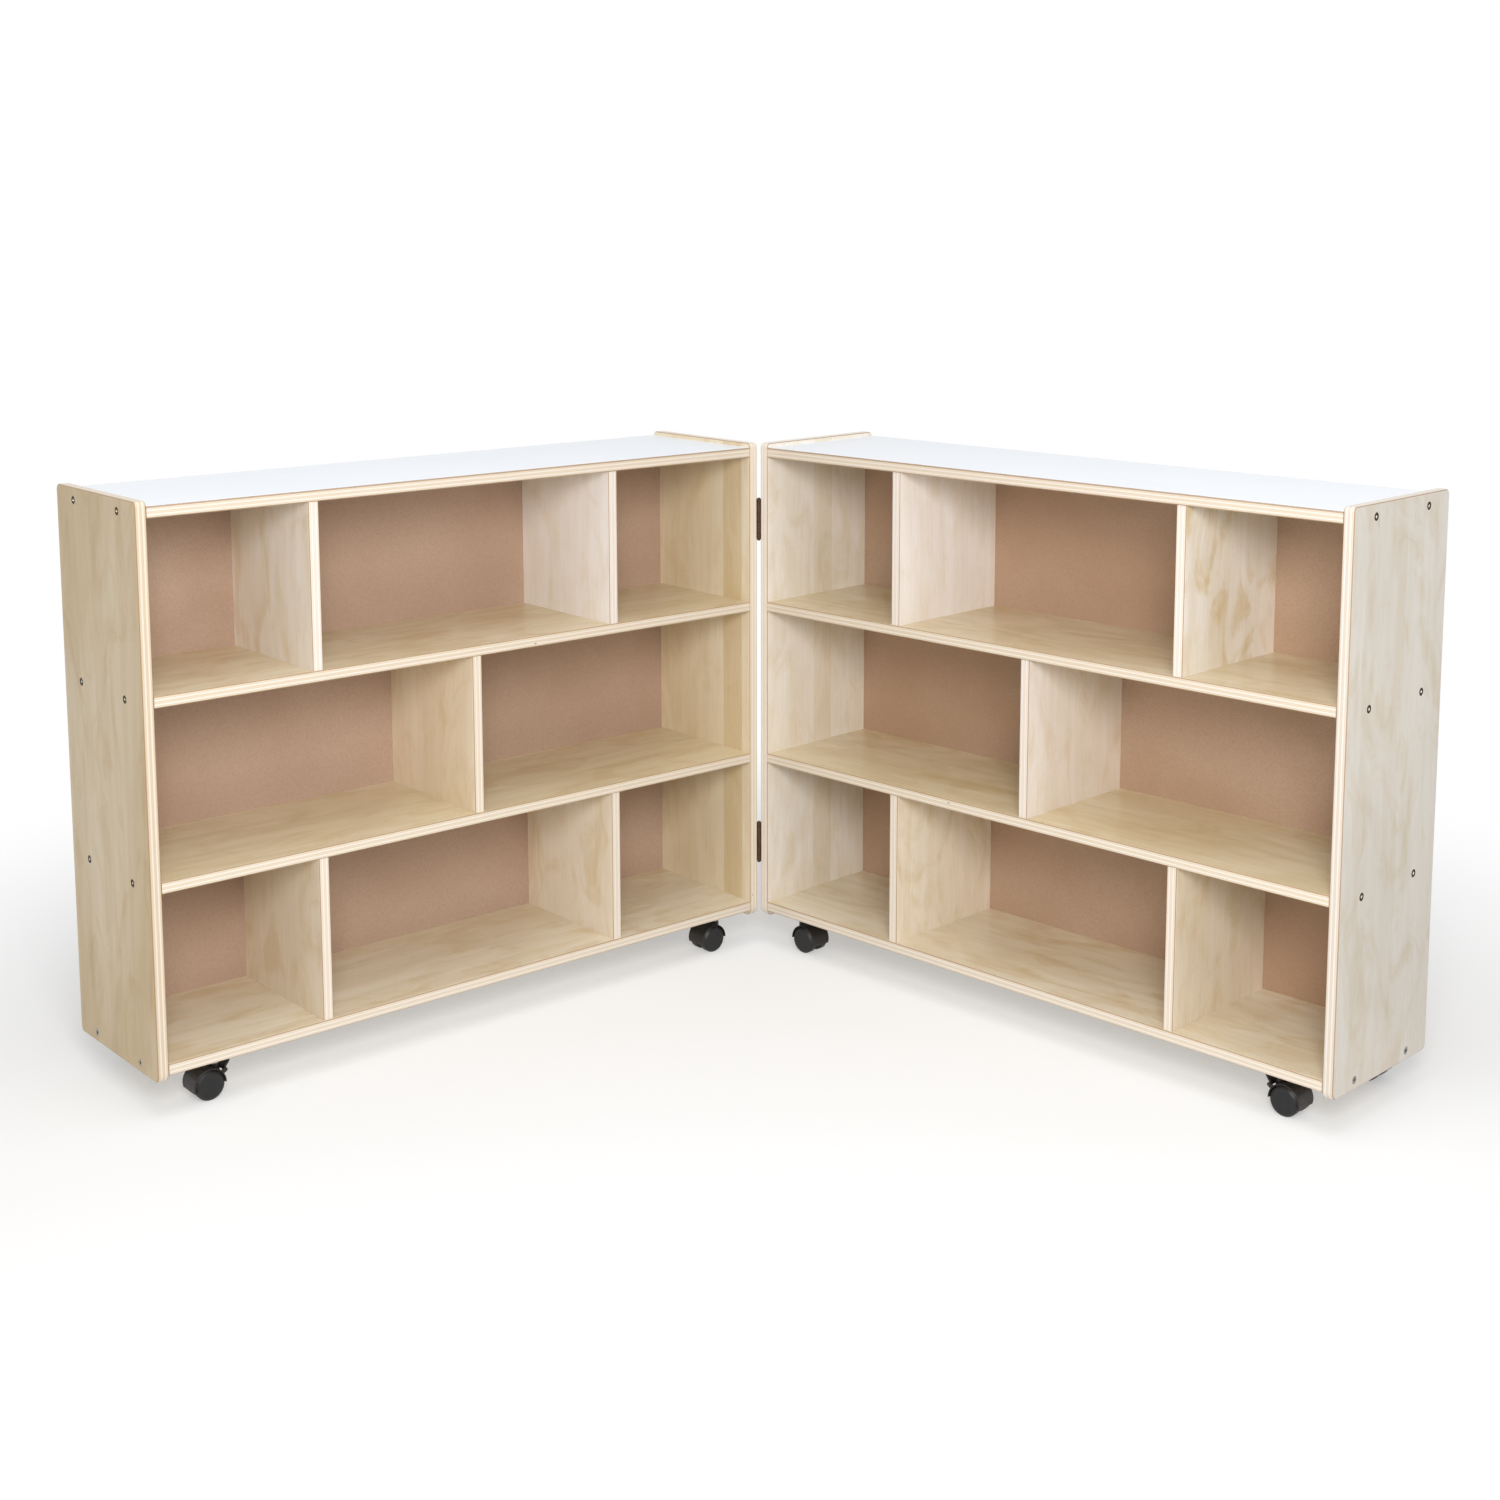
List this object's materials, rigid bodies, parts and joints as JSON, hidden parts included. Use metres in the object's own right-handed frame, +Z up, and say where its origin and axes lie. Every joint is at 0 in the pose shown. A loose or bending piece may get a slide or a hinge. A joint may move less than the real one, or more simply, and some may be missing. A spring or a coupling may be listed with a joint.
{
  "type": "folding shelf unit",
  "caption": "Two mirror-image open plywood bookcases with staggered cubbies, hinged at their front corners so that they fold face to face, on braked twin-wheel casters.",
  "frame": {"origin": "on the floor under the middle of the box round the whole part in its half-open resting pose", "axes": "+Z up; the left cabinet stands along X with its open front towards -Y and its hinges at its +X end; the right cabinet stands at 94.5 degrees to it, with its open front towards -X"},
  "size_m": [1.6159, 1.5166, 0.9762],
  "materials": {
    "birch_plywood": "clear satin lacquer over birch veneer",
    "white_laminate": "satin laminate",
    "brown_hardboard": "smooth tempered hardboard",
    "bronze_steel": "dark bronze plating",
    "zinc_steel": "zinc plated",
    "black_plastic": "satin moulded nylon",
    "wheel_plastic": "smooth moulded nylon tread"
  },
  "bodies": {
    "left_cabinet": {"left_outer_side_panel": "birch_plywood", "left_inner_side_panel": "birch_plywood", "left_top_board": "birch_plywood", "left_top_laminate": "white_laminate", "left_upper_shelf": "birch_plywood", "left_lower_shelf": "birch_plywood", "left_bottom_shelf": "birch_plywood", "left_back_panel": "brown_hardboard", "left_top_outer_divider": "birch_plywood", "left_top_inner_divider": "birch_plywood", "left_centre_divider": "birch_plywood", "left_bottom_outer_divider": "birch_plywood", "left_bottom_inner_divider": "birch_plywood", "left_side_screws": "zinc_steel", "left_hinge_leaves": "bronze_steel", "left_hinge_screws": "bronze_steel", "left_caster_plates": "zinc_steel", "left_king_pins": "zinc_steel", "left_caster_plate_screws": "zinc_steel", "hinge_pins": "bronze_steel"},
    "right_cabinet": {"right_outer_side_panel": "birch_plywood", "right_inner_side_panel": "birch_plywood", "right_top_board": "birch_plywood", "right_top_laminate": "white_laminate", "right_upper_shelf": "birch_plywood", "right_lower_shelf": "birch_plywood", "right_bottom_shelf": "birch_plywood", "right_back_panel": "brown_hardboard", "right_top_outer_divider": "birch_plywood", "right_top_inner_divider": "birch_plywood", "right_centre_divider": "birch_plywood", "right_bottom_outer_divider": "birch_plywood", "right_bottom_inner_divider": "birch_plywood", "right_side_screws": "zinc_steel", "right_hinge_leaves": "bronze_steel", "right_hinge_screws": "bronze_steel", "right_caster_plates": "zinc_steel", "right_king_pins": "zinc_steel", "right_caster_plate_screws": "zinc_steel"},
    "left_front_outer_swivel": {"left_front_outer_caster_hood": "black_plastic"},
    "left_front_outer_wheels": {"left_front_outer_wheel_pair": "wheel_plastic"},
    "left_front_outer_pedal": {"left_front_outer_brake_pedal": "black_plastic"},
    "left_front_inner_swivel": {"left_front_inner_caster_hood": "black_plastic"},
    "left_front_inner_wheels": {"left_front_inner_wheel_pair": "wheel_plastic"},
    "left_rear_outer_swivel": {"left_rear_outer_caster_hood": "black_plastic"},
    "left_rear_outer_wheels": {"left_rear_outer_wheel_pair": "wheel_plastic"},
    "left_rear_outer_pedal": {"left_rear_outer_brake_pedal": "black_plastic"},
    "left_rear_inner_swivel": {"left_rear_inner_caster_hood": "black_plastic"},
    "left_rear_inner_wheels": {"left_rear_inner_wheel_pair": "wheel_plastic"},
    "right_front_outer_swivel": {"right_front_outer_caster_hood": "black_plastic"},
    "right_front_outer_wheels": {"right_front_outer_wheel_pair": "wheel_plastic"},
    "right_front_outer_pedal": {"right_front_outer_brake_pedal": "black_plastic"},
    "right_front_inner_swivel": {"right_front_inner_caster_hood": "black_plastic"},
    "right_front_inner_wheels": {"right_front_inner_wheel_pair": "wheel_plastic"},
    "right_rear_outer_swivel": {"right_rear_outer_caster_hood": "black_plastic"},
    "right_rear_outer_wheels": {"right_rear_outer_wheel_pair": "wheel_plastic"},
    "right_rear_outer_pedal": {"right_rear_outer_brake_pedal": "black_plastic"},
    "right_rear_inner_swivel": {"right_rear_inner_caster_hood": "black_plastic"},
    "right_rear_inner_wheels": {"right_rear_inner_wheel_pair": "wheel_plastic"}
  },
  "joints": [
    {"name": "cabinet_fold", "type": "hinge", "parent": "left_cabinet", "child": "right_cabinet", "pos_m": [0.41909, 0.46482, 0], "axis": [0, 0, 1], "range_deg": [-94.5, 85.5]},
    {"name": "left_front_outer_swivel_turn", "type": "hinge", "parent": "left_cabinet", "child": "left_front_outer_swivel", "pos_m": [-0.69406, 0.51442, 0], "axis": [0, 0, 1], "continuous": true},
    {"name": "left_front_outer_wheel_spin", "type": "hinge", "parent": "left_front_outer_swivel", "child": "left_front_outer_wheels", "pos_m": [-0.70906, 0.51442, 0.025], "axis": [0, -1, 0], "continuous": true},
    {"name": "left_front_outer_pedal_press", "type": "hinge", "parent": "left_front_outer_swivel", "child": "left_front_outer_pedal", "pos_m": [-0.68086, 0.51442, 0.0435], "axis": [0, 1, 0], "range_deg": [0, 25]},
    {"name": "left_front_inner_swivel_turn", "type": "hinge", "parent": "left_cabinet", "child": "left_front_inner_swivel", "pos_m": [0.34494, 0.51442, 0], "axis": [0, 0, 1], "continuous": true},
    {"name": "left_front_inner_wheel_spin", "type": "hinge", "parent": "left_front_inner_swivel", "child": "left_front_inner_wheels", "pos_m": [0.32994, 0.51442, 0.025], "axis": [0, -1, 0], "continuous": true},
    {"name": "left_rear_outer_swivel_turn", "type": "hinge", "parent": "left_cabinet", "child": "left_rear_outer_swivel", "pos_m": [-0.71406, 0.72842, 0], "axis": [0, 0, 1], "continuous": true},
    {"name": "left_rear_outer_wheel_spin", "type": "hinge", "parent": "left_rear_outer_swivel", "child": "left_rear_outer_wheels", "pos_m": [-0.69906, 0.72842, 0.025], "axis": [0, 1, 0], "continuous": true},
    {"name": "left_rear_outer_pedal_press", "type": "hinge", "parent": "left_rear_outer_swivel", "child": "left_rear_outer_pedal", "pos_m": [-0.72726, 0.72842, 0.0435], "axis": [0, -1, 0], "range_deg": [0, 25]},
    {"name": "left_rear_inner_swivel_turn", "type": "hinge", "parent": "left_cabinet", "child": "left_rear_inner_swivel", "pos_m": [0.34494, 0.72842, 0], "axis": [0, 0, 1], "continuous": true},
    {"name": "left_rear_inner_wheel_spin", "type": "hinge", "parent": "left_rear_inner_swivel", "child": "left_rear_inner_wheels", "pos_m": [0.35994, 0.72842, 0.025], "axis": [0, 1, 0], "continuous": true},
    {"name": "right_front_outer_swivel_turn", "type": "hinge", "parent": "right_cabinet", "child": "right_front_outer_swivel", "pos_m": [0.55587, -0.64101, 0], "axis": [0, 0, 1], "continuous": true},
    {"name": "right_front_outer_wheel_spin", "type": "hinge", "parent": "right_front_outer_swivel", "child": "right_front_outer_wheels", "pos_m": [0.55705, -0.65596, 0.025], "axis": [0.9969, 0.0785, 0], "continuous": true},
    {"name": "right_front_outer_pedal_press", "type": "hinge", "parent": "right_front_outer_swivel", "child": "right_front_outer_pedal", "pos_m": [0.55483, -0.62785, 0.0435], "axis": [-0.9969, -0.0785, 0], "range_deg": [0, 25]},
    {"name": "right_front_inner_swivel_turn", "type": "hinge", "parent": "right_cabinet", "child": "right_front_inner_swivel", "pos_m": [0.47435, 0.39479, 0], "axis": [0, 0, 1], "continuous": true},
    {"name": "right_front_inner_wheel_spin", "type": "hinge", "parent": "right_front_inner_swivel", "child": "right_front_inner_wheels", "pos_m": [0.47553, 0.37984, 0.025], "axis": [0.9969, 0.0785, 0], "continuous": true},
    {"name": "right_rear_outer_swivel_turn", "type": "hinge", "parent": "right_cabinet", "child": "right_rear_outer_swivel", "pos_m": [0.77078, -0.64415, 0], "axis": [0, 0, 1], "continuous": true},
    {"name": "right_rear_outer_wheel_spin", "type": "hinge", "parent": "right_rear_outer_swivel", "child": "right_rear_outer_wheels", "pos_m": [0.77196, -0.65911, 0.025], "axis": [0.9969, 0.0785, 0], "continuous": true},
    {"name": "right_rear_outer_pedal_press", "type": "hinge", "parent": "right_rear_outer_swivel", "child": "right_rear_outer_pedal", "pos_m": [0.76975, -0.63099, 0.0435], "axis": [-0.9969, -0.0785, 0], "range_deg": [0, 25]},
    {"name": "right_rear_inner_swivel_turn", "type": "hinge", "parent": "right_cabinet", "child": "right_rear_inner_swivel", "pos_m": [0.68769, 0.41158, 0], "axis": [0, 0, 1], "continuous": true},
    {"name": "right_rear_inner_wheel_spin", "type": "hinge", "parent": "right_rear_inner_swivel", "child": "right_rear_inner_wheels", "pos_m": [0.68651, 0.42653, 0.025], "axis": [-0.9969, -0.0785, 0], "continuous": true}
  ]
}
